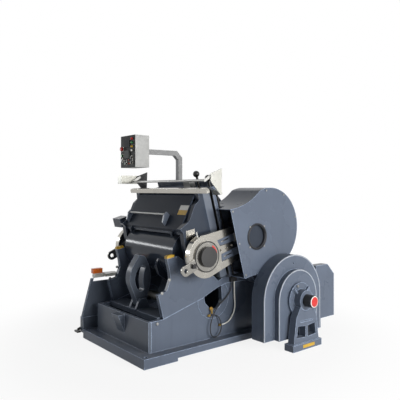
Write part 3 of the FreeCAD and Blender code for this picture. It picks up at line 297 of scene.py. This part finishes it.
looks = {
    slate: ["side_frames", "lower_walls", "right_gear_cover", "left_gear_cover",
            "flywheel_cover", "belt_guard", "bearing_housing", "pedestal", "die_bed",
            "motor_body"],
    basePaint: ["base_frame", "motor_bracket"],
    frontPaint: ["front_sill", "cross_members", "arm_fork", "link_arm", "guard_box"],
    shadedSlate: ["platen_casting"],
    shadedPanelPaint: ["back_panel"],
    polished: ["top_bar", "right_rod", "left_rod"],
    plateLook: ["rail_plates"],
    leverSteel: ["right_lever", "left_lever"],
    tableSteel: ["chase_plate", "platen_table"],
    machined: ["pivot_shaft", "fasteners", "main_shaft", "counter_shaft", "drive_shaft",
               "safety_rail"],
    iron: ["main_gears", "flywheel", "motor_pulley"],
    bronze: ["shaft_bushes"],
    brass: ["pipe_fittings"],
    black: ["end_cap", "trunnion_caps", "foot_pedal", "reset_button", "mode_selector",
            "delay_selector"],
    rubber: ["drive_belts", "control_cable"],
    boxGrey: ["control_box"],
    mastGrey: ["mast"],
    faceBlack: ["control_face"],
    yellow: ["buffer_blocks"],
    hoseWhite: ["oil_hose"],
    red: ["stop_button"],
    green: ["start_button"],
    white: ["jog_button"],
    conduitLook: ["conduits"],
    lampLook: ["pilot_lamps"],
    moduleLook: ["display_modules"],
    cupLook: ["lubricator"],
    clampLook: ["chase_clamps"],
    railLook: ["grab_rail"],
}
for material, names in looks.items():
    for name in names:
        mesh = nodes[name].data
        mesh.materials.clear()
        mesh.materials.append(material)
print("nodes painted")


# surface helpers
def surface(name, grid, body, material, loopU=False, loopV=False, smooth=True):
    rows, cols = grid.shape[:2]
    index = np.arange(rows * cols).reshape(rows, cols)
    if loopU:
        index = np.vstack([index, index[:1]])
    if loopV:
        index = np.hstack([index, index[:, :1]])
    ring = [index[:-1, :-1], index[1:, :-1], index[1:, 1:], index[:-1, 1:]]
    faces = np.stack(ring, axis=-1).reshape(-1, 4)
    mesh = bpy.data.meshes.new(name)
    mesh.from_pydata(grid.reshape(-1, 3).tolist(), [], faces.tolist())
    mesh.polygons.foreach_set("use_smooth", np.full(len(mesh.polygons), smooth))
    mesh.materials.append(material)
    mesh.update()
    piece = bpy.data.objects.new(name, mesh)
    bpy.context.scene.collection.objects.link(piece)
    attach(piece, body)


def spun(name, centre, axis, profile, body, material, steps=40):
    # profile (radius, along) turned about the axis through centre
    out = Vector(axis).normalized()
    side = np.array(out.orthogonal().normalized())
    up = np.cross(np.array(out), side)
    turn = np.linspace(0, 2 * np.pi, steps, endpoint=False)[:, None, None]
    radius = np.array([p[0] for p in profile])[None, :, None]
    along = np.array([p[1] for p in profile])[None, :, None]
    around = np.cos(turn) * side + np.sin(turn) * up
    grid = np.array(centre) + np.array(out) * along + radius * around
    surface(name, grid, body, material, loopU=True)


def bead(name, path, radius, body, material, steps=10):
    # round section swept along the path, square to it
    points = np.array(path, float)
    ahead = np.gradient(points, axis=0)
    ahead /= np.linalg.norm(ahead, axis=1)[:, None]
    flat = np.ptp(points[:, 0]) < 1e-4
    guide = np.array([1.0, 0.0, 0.0]) if flat else np.array([0.13, 0.21, 0.97])
    side = np.cross(ahead, guide)
    side /= np.linalg.norm(side, axis=1)[:, None]
    up = np.cross(side, ahead)
    turn = np.linspace(0, 2 * np.pi, steps, endpoint=False)[None, :, None]
    ring = np.cos(turn) * side[:, None, :] + np.sin(turn) * up[:, None, :]
    size = np.broadcast_to(np.asarray(radius, float), (len(points),))[:, None, None]
    surface(name, points[:, None, :] + ring * size, body, material, loopV=True)


def patch(corners, count):  # bilinear patch of four corners
    a, b, c, d = (np.array(p, float) for p in corners)
    s = np.linspace(0, 1, count)[:, None, None]
    t = np.linspace(0, 1, count)[None, :, None]
    return (a * (1 - s) + b * s) * (1 - t) + (d * (1 - s) + c * s) * t


def plate(name, corners, body, material, count=5):  # flat sheet of four corners
    surface(name, patch(corners, count), body, material, smooth=False)


def middle(node):  # middle and two corners of a node's box
    low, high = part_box(node)
    return (low + high) / 2, low, high


trunnion = middle("trunnion_caps")[0]
drive, _, endHigh = middle("end_cap")
crank = middle("main_shaft")[0]
lean = math.atan2(crank.z - trunnion.z, crank.y - trunnion.y)


def press(n, u):  # (y, z) at n behind the trunnion and u up along the bed
    return (trunnion.y + n * math.cos(lean) - u * math.sin(lean),
            trunnion.z + n * math.sin(lean) + u * math.cos(lean))


# painted floors of the sunk panels in the rods
pocket = {"upper": [(0.183, 0.037), (0.163, 0.095), (0.383, 0.093), (0.383, 0.018)],
          "lower": [(0.178, -0.042), (0.165, -0.110), (0.398, -0.116), (0.398, -0.042)],
          "deep": 0.014, "lift": 0.0006}
slotStrip = {"upper": (0.205, 0.305, 0.066), "lower": (0.205, 0.31, -0.078),
             "half": 0.005, "lift": 0.0016}
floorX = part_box("right_rod")[1].x - pocket["deep"] + pocket["lift"]
rods = ((1, "right_rod"), (-1, "left_rod"))
for side, rodName in rods:
    for part in ("upper", "lower"):
        corners = [(side * floorX, *press(*p)) for p in pocket[part]]
        plate(rodName + "_pocket_" + part, corners, rodName, slate, count=9)
# long bright slots in each pocket
for side, rodName in rods:
    for part in ("upper", "lower"):
        start, end, level = slotStrip[part]
        along = np.linspace(start, end, 24)[:, None]
        across = np.linspace(-1, 1, 5)[None, :]
        share = 2 * (along - start) / (end - start) - 1
        rounded = slotStrip["half"] * np.sqrt(1 - share ** 8 + 1e-6)  # blunt ends
        y, z = press(along + 0 * across, level + rounded * across)
        x = np.full(y.shape, side * (floorX + slotStrip["lift"]))
        surface(rodName + "_slot_" + part, np.stack([x, y, z], axis=-1), rodName, polished,
                smooth=False)
print("rod pockets painted")

# rolled edges on the two steps of the flywheel cover, in a paler paint than the cover: a painted
# highlight along the rims
rolled = {"radius": 0.007, "bottom": 0.09, "sink": 0.003, "inset": 0.004, "count": 60,
          "drum": (0.412, 0.9), "step": (0.275, 0.96)}
for label in ("drum", "step"):
    radius = rolled[label][0] - rolled["inset"]
    faceX = rolled[label][1] - rolled["sink"]
    turn = np.linspace(0, np.pi, rolled["count"])
    arc = np.stack([np.full(rolled["count"], faceX), drive.y - radius * np.cos(turn),
                    drive.z + radius * np.sin(turn)], axis=1)  # half circle about the drive shaft
    foot = np.array([[faceX, drive.y - radius, rolled["bottom"]]])
    tail = np.array([[faceX, drive.y + radius, rolled["bottom"]]])
    bead(label + "_edge", np.vstack([foot, arc, tail]), rolled["radius"], "frame", highlightEdgePaint)

weld = {"radius": 0.006, "wobble": 0.0012, "pitch": 1.7, "count": 160, "ahead": 0.03}
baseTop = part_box("base_frame")[1].z
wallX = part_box("front_sill")[1].x
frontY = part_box("lower_walls")[0].y - weld["ahead"]
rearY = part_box("lower_walls")[1].y
welds = {"front": [(-wallX, frontY, baseTop), (wallX, frontY, baseTop)],
         "right": [(wallX, frontY, baseTop), (wallX, rearY, baseTop)],
         "left": [(-wallX, frontY, baseTop), (-wallX, rearY, baseTop)]}
for label, (start, end) in welds.items():
    share = np.linspace(0, 1, weld["count"])[:, None]
    line = np.array(start) * (1 - share) + np.array(end) * share
    ripple = weld["radius"] + weld["wobble"] * np.sin(np.arange(weld["count"]) * weld["pitch"])
    bead("weld_" + label, line, ripple, "frame", basePaint)
print("edges and welds made")

# red face of the end cap and its pale ring, (radius, along)
capFace = {"disc": [(0.0, 0.004), (0.03, 0.0038), (0.046, 0.003), (0.05, 0.0005)],
           "ring": [(0.046, 0.0031), (0.052, 0.003), (0.054, 0.0004)]}
capSpot = (endHigh.x, drive.y, drive.z)
spun("cap_disc", capSpot, (1, 0, 0), capFace["disc"], "frame", red)
spun("cap_ring", capSpot, (1, 0, 0), capFace["ring"], "frame", white)

# bare plates: two on the back panel, one on the wing, one on the pedestal foot
bare = {"lift": 0.0008, "low": (-0.100, 0.275), "high": (0.140, 0.530), "across": (0.345, 0.475),
        "wing": 0.54, "wingAt": [(-0.10, 0.17), (0.0, 0.16), (0.02, 0.25), (-0.08, 0.26)],
        "footY": (-0.07, 0.1), "footZ": (0.018, 0.048)}


def onPanel(share):  # (y, z) up the sloping back panel, lifted off it
    (lowN, lowU), (highN, highU) = bare["low"], bare["high"]
    spanN, spanU = highN - lowN, highU - lowU
    lift = bare["lift"] / math.hypot(spanN, spanU)
    return press(lowN + share * spanN - lift * spanU, lowU + share * spanU + lift * spanN)


panelPlates = (("panel_plate_low", 0.42, 0.56, yellow, "yellow_pad"),
               ("panel_plate_high", 0.56, 0.70, machined, "machined_steel"))
plateLeft, plateRight = bare["across"]
for name, low, high, material, slotName in panelPlates:
    corners = [(plateLeft, *onPanel(low)), (plateRight, *onPanel(low)),
               (plateRight, *onPanel(high)), (plateLeft, *onPanel(high))]
    plate(name, corners, "platen", material)
wingX = bare["wing"] + bare["lift"]
wingCorners = [(wingX, *press(*p)) for p in bare["wingAt"]]
plate("wing_plate", wingCorners, "platen", polished)
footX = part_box("pedestal")[1].x + bare["lift"]
footFront, footRear = (drive.y + y for y in bare["footY"])
footLow, footHigh = bare["footZ"]
footCorners = [(footX, footFront, footLow), (footX, footRear, footLow),
               (footX, footRear, footHigh), (footX, footFront, footHigh)]
plate("pedestal_strip", footCorners, "frame", yellow)
print("cap and plates made")

# control panel: collars round the buttons, a domed stop head, domed lamps and small lenses
collar = {"wide": 0.004, "gap": 0.001, "tall": 0.0025}
faceMiddle, faceLow, _ = middle("control_face")
faceY = faceLow.y
for name in ("start_button", "jog_button", "reset_button", "mode_selector", "delay_selector",
             "stop_button"):
    spot, low, high = middle(name)
    radius = (high.x - low.x) / 2
    inner, outer = radius + collar["gap"], radius + collar["wide"]
    spun(name + "_collar", (spot.x, faceY, spot.z), (0, -1, 0),
         [(inner, 0.0), (inner, collar["tall"]), (outer, collar["tall"]), (outer, 0.0)],
         "frame", polished, steps=32)
domes = {"stop": [(0.0205, -0.006), (0.0215, -0.001), (0.018, 0.004), (0.01, 0.0065),
                  (0.0, 0.0075)],
         "lamp": [(0.0112, -0.006), (0.0112, 0.0), (0.008, 0.004), (0.0, 0.0055)],
         "lampFirst": 0.011, "lampStep": 0.038}
stopSpot, stopLow, _ = middle("stop_button")
spun("stop_dome", (stopSpot.x, stopLow.y, stopSpot.z), (0, -1, 0), domes["stop"],
     "stop_button", red)
lampMiddle, lampLow, _ = middle("pilot_lamps")
lampTones = [(white, "white_plastic"), (yellow, "yellow_pad"), (green, "green_plastic"),
             (red, "red_plastic")]
for i, (tone, slotName) in enumerate(lampTones):
    z = lampLow.z + domes["lampFirst"] + i * domes["lampStep"]
    spun("lamp_dome_%d" % i, (lampMiddle.x, lampLow.y, z), (0, -1, 0), domes["lamp"],
         "frame", tone, steps=24)
# rows of small lenses: across, up from the panel's middle, tone and slot
lens = [(0.0085, 0.0), (0.0085, 0.0035), (0.00595, 0.00595), (0.0, 0.007)]
lensRows = [(-0.060, -0.118, green, "green_plastic"), (0.022, -0.118, red, "red_plastic"),
            (0.052, -0.118, yellow, "yellow_pad"), (-0.060, -0.086, white, "white_plastic"),
            (-0.020, -0.086, white, "white_plastic"), (0.022, -0.086, red, "red_plastic")]
for i, (across, up, tone, slotName) in enumerate(lensRows):
    spot = (faceMiddle.x + across, faceY, faceMiddle.z + up)
    spun("panel_lens_%d" % i, spot, (0, -1, 0), lens, "frame", tone, steps=20)
print("control panel dressed")

# dark ring round the round sight in each gear cover, with its inner wall in the same near-black and
# its floor in a darker slate: painted shade in the recess
sight = {"n": 0.575, "radius": 0.109, "ring": 0.127, "deep": 0.0285, "lift": 0.0012,
         "sink": 0.004, "fit": 0.0008}
sightFaces = ((1, "right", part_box("right_gear_cover")[1].x),
              (-1, "left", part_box("left_gear_cover")[0].x))
for side, label, faceX in sightFaces:
    inner, outer = sight["radius"] - sight["fit"], sight["ring"] + sight["fit"]
    well = sight["lift"] - sight["deep"]
    spot = (faceX, *press(sight["n"], 0.0))
    spun(label + "_sight_ring", spot, (side, 0, 0),
         [(inner, -sight["deep"]), (inner, sight["lift"]), (outer, sight["lift"]),
          (outer, -sight["sink"])],
         "frame", darkRimAndShadePaint, steps=72)
    spun(label + "_sight_floor", spot, (side, 0, 0),
         [(0.0, well), (inner * 0.5, well), (inner, well)],
         "frame", shadedWellPaint, steps=72)
print("sight rings made")

# red arc and dark rim on the throw-off lever ring
arcMark = {"inner": 0.099, "outer": 0.118, "from": 12.0, "to": 58.0, "lift": 0.0006,
           "latch": 0.018,
           "rim": [(0.131, 0.0), (0.131, 0.0006), (0.1405, 0.0006), (0.1405, -0.002)]}
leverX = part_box("right_lever")[1].x - arcMark["latch"]
turn = np.radians(np.linspace(arcMark["from"], arcMark["to"], 24))[:, None]
radius = np.linspace(arcMark["inner"], arcMark["outer"], 4)[None, :]
arcY = trunnion.y + radius * np.cos(turn)  # part of a ring
arcZ = trunnion.z + radius * np.sin(turn)
arcGrid = np.stack([np.full(arcY.shape, leverX + arcMark["lift"]), arcY, arcZ], axis=-1)
surface("lever_arc", arcGrid, "right_lever", red, smooth=False)
spun("lever_rim", (leverX, trunnion.y, trunnion.z), (1, 0, 0), arcMark["rim"],
     "right_lever", black, steps=64)
print("lever ring marked")

# oil nipple on the eye of the right rod
nipple = {"x": 0.62, "at": (-0.03, 0.185), "axis": (0, -0.2, 1),
          "profile": [(0.009, 0.0), (0.009, 0.02), (0.005, 0.022), (0.005, 0.05),
                      (0.007, 0.052), (0.0, 0.056)]}
spun("oil_nipple", (nipple["x"], *press(*nipple["at"])), nipple["axis"], nipple["profile"],
     "right_rod", white, steps=20)
print("oil nipple made")


# cable and hose along the same routes as their solids
def leadCurve(name, points, radius, material, node):
    data = bpy.data.curves.new(name, "CURVE")
    data.dimensions = "3D"
    data.bevel_depth = radius
    data.bevel_resolution = 4
    line = data.splines.new("NURBS")
    line.points.add(len(points) - 1)
    line.points.foreach_set("co", np.array([(*p, 1.0) for p in points]).ravel())
    line.order_u = 3
    line.use_endpoint_u = True
    line.resolution_u = 16
    data.materials.append(material)
    piece = bpy.data.objects.new(name, data)
    bpy.context.scene.collection.objects.link(piece)
    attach(piece, "frame")
    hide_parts(node)
    return piece


cordX = 0.490
cableRoute = [(cordX, 0.218, 0.600), (cordX, 0.218, 0.500), (cordX + 0.008, 0.000, 0.375),
              (cordX + 0.014, -0.080, 0.215), (cordX + 0.016, -0.060, 0.110),
              (cordX + 0.018, 0.020, 0.098), (cordX + 0.016, 0.075, 0.180),
              (cordX + 0.006, 0.050, 0.280), (0.484, 0.000, 0.312), (0.484, -0.060, 0.312)]
hoseRoute = [(cordX, 0.248, 0.600), (cordX, 0.248, 0.480), (cordX + 0.006, 0.258, 0.330),
             (cordX, 0.190, 0.225), (0.484, 0.130, 0.200), (0.484, 0.080, 0.200)]
cable = leadCurve("cable_lead", cableRoute, 0.005, rubber, "control_cable")
hose = leadCurve("hose_lead", hoseRoute, 0.007, hoseWhite, "oil_hose")
print("leads run")

# stage, lamps and camera
stageWhite = {"floorShare": 0.86, "fade": (1.3, 2.6), "skyFill": 0.085,
              "skyTint": (0.86, 0.9, 1.0, 1), "floorSize": 30.0,
              "floorTones": ((0.88, 0.88, 0.88), (0.92, 0.92, 0.92))}


def whiteRays(web):  # 1 on camera, glossy and transmission rays, 0 on the rest
    seen, glossy, through = (web.node("ShaderNodeLightPath", output=ray)
                             for ray in ("Is Camera Ray", "Is Glossy Ray", "Is Transmission Ray"))
    return seen.maths("MAXIMUM", glossy).maths("MAXIMUM", through)


def stageLook():
    look = Look("stageWhite")
    look.set("Base Color", look.mix(look.noise(3.0), *stageWhite["floorTones"]))
    look.set("Roughness", 0.8 + (look.noise(3.0) - 0.5) * 0.1)
    glow = look.node("ShaderNodeEmission", {}, {"Color": (1, 1, 1, 1), "Strength": 1.0})
    away = (look.x ** 2.0 + look.y ** 2.0) ** 0.5  # distance from the middle of the machine
    near = stageWhite["floorShare"]
    share = near + away.ramp(*stageWhite["fade"]) * (1.0 - near)
    plain = Sock(look, look.shader.outputs[0])
    blend = look.node("ShaderNodeMixShader", {}, {0: whiteRays(look) * share, 1: plain, 2: glow})
    look.end("Material Output", blend)
    return look.material


reach = stageWhite["floorSize"]
floorMesh = bpy.data.meshes.new("floor")
floorCorners = [(-reach, -reach, 0), (reach, -reach, 0), (reach, reach, 0), (-reach, reach, 0)]
floorMesh.from_pydata(floorCorners, [], [(0, 1, 2, 3)])
floorMesh.materials.append(stageLook())
floor = bpy.data.objects.new("floor", floorMesh)
bpy.context.scene.collection.objects.link(floor)

world = bpy.data.worlds.new("studio")
bpy.context.scene.world = world
world.use_nodes = True
sky = Web(world.node_tree)
back = sky.tree.nodes["Background"]
back.inputs["Color"].default_value = stageWhite["skyTint"]
back.inputs["Strength"].default_value = stageWhite["skyFill"]
clean = sky.node("ShaderNodeBackground", {}, {"Color": (1, 1, 1, 1), "Strength": 1.0})
fill = Sock(sky, back.outputs[0])
skyBlend = sky.node("ShaderNodeMixShader", {}, {0: whiteRays(sky), 1: fill, 2: clean})
sky.end("World Output", skyBlend)


def lamp(name, place, target, size, power, tint):
    data = bpy.data.lights.new(name, "AREA")
    data.shape = "RECTANGLE"
    data.size, data.size_y = size
    data.energy = power
    data.color = tint
    piece = bpy.data.objects.new(name, data)
    piece.location = place
    piece.rotation_euler = (Vector(target) - Vector(place)).to_track_quat("-Z", "Y").to_euler()
    bpy.context.scene.collection.objects.link(piece)


lamp("keySide", place=(6.0, 1.0, 2.0), target=(0.2, 0.2, 0.8), size=(4.0, 2.6), power=400,
     tint=(1.0, 0.99, 0.97))
lamp("topSoft", place=(-0.6, -0.4, 5.2), target=(0.0, 0.2, 0.6), size=(3.2, 3.2), power=12,
     tint=(1.0, 1.0, 1.0))
lamp("stripLeft", place=(-4.1, -2.98, 2.08), target=(0.0, -0.4, 0.95), size=(3.4, 0.4), power=64,
     tint=(0.96, 0.98, 1.0))

eye = {"place": (4.002, -3.019, 1.5), "turn": (90.0, 0.0, 51.1), "sensor": 36.0, "lens": 43.65,
       "shift": -0.025}
camera = bpy.data.objects.new("camera", bpy.data.cameras.new("camera"))
camera.location = eye["place"]
camera.rotation_euler = tuple(math.radians(angle) for angle in eye["turn"])
camera.data.sensor_width = eye["sensor"]
camera.data.lens = eye["lens"]
camera.data.shift_y = eye["shift"]
camera.data.clip_end = 100.0
bpy.context.scene.collection.objects.link(camera)
bpy.context.scene.camera = camera
bpy.context.scene.view_settings.view_transform = "Standard"
print("stage set")
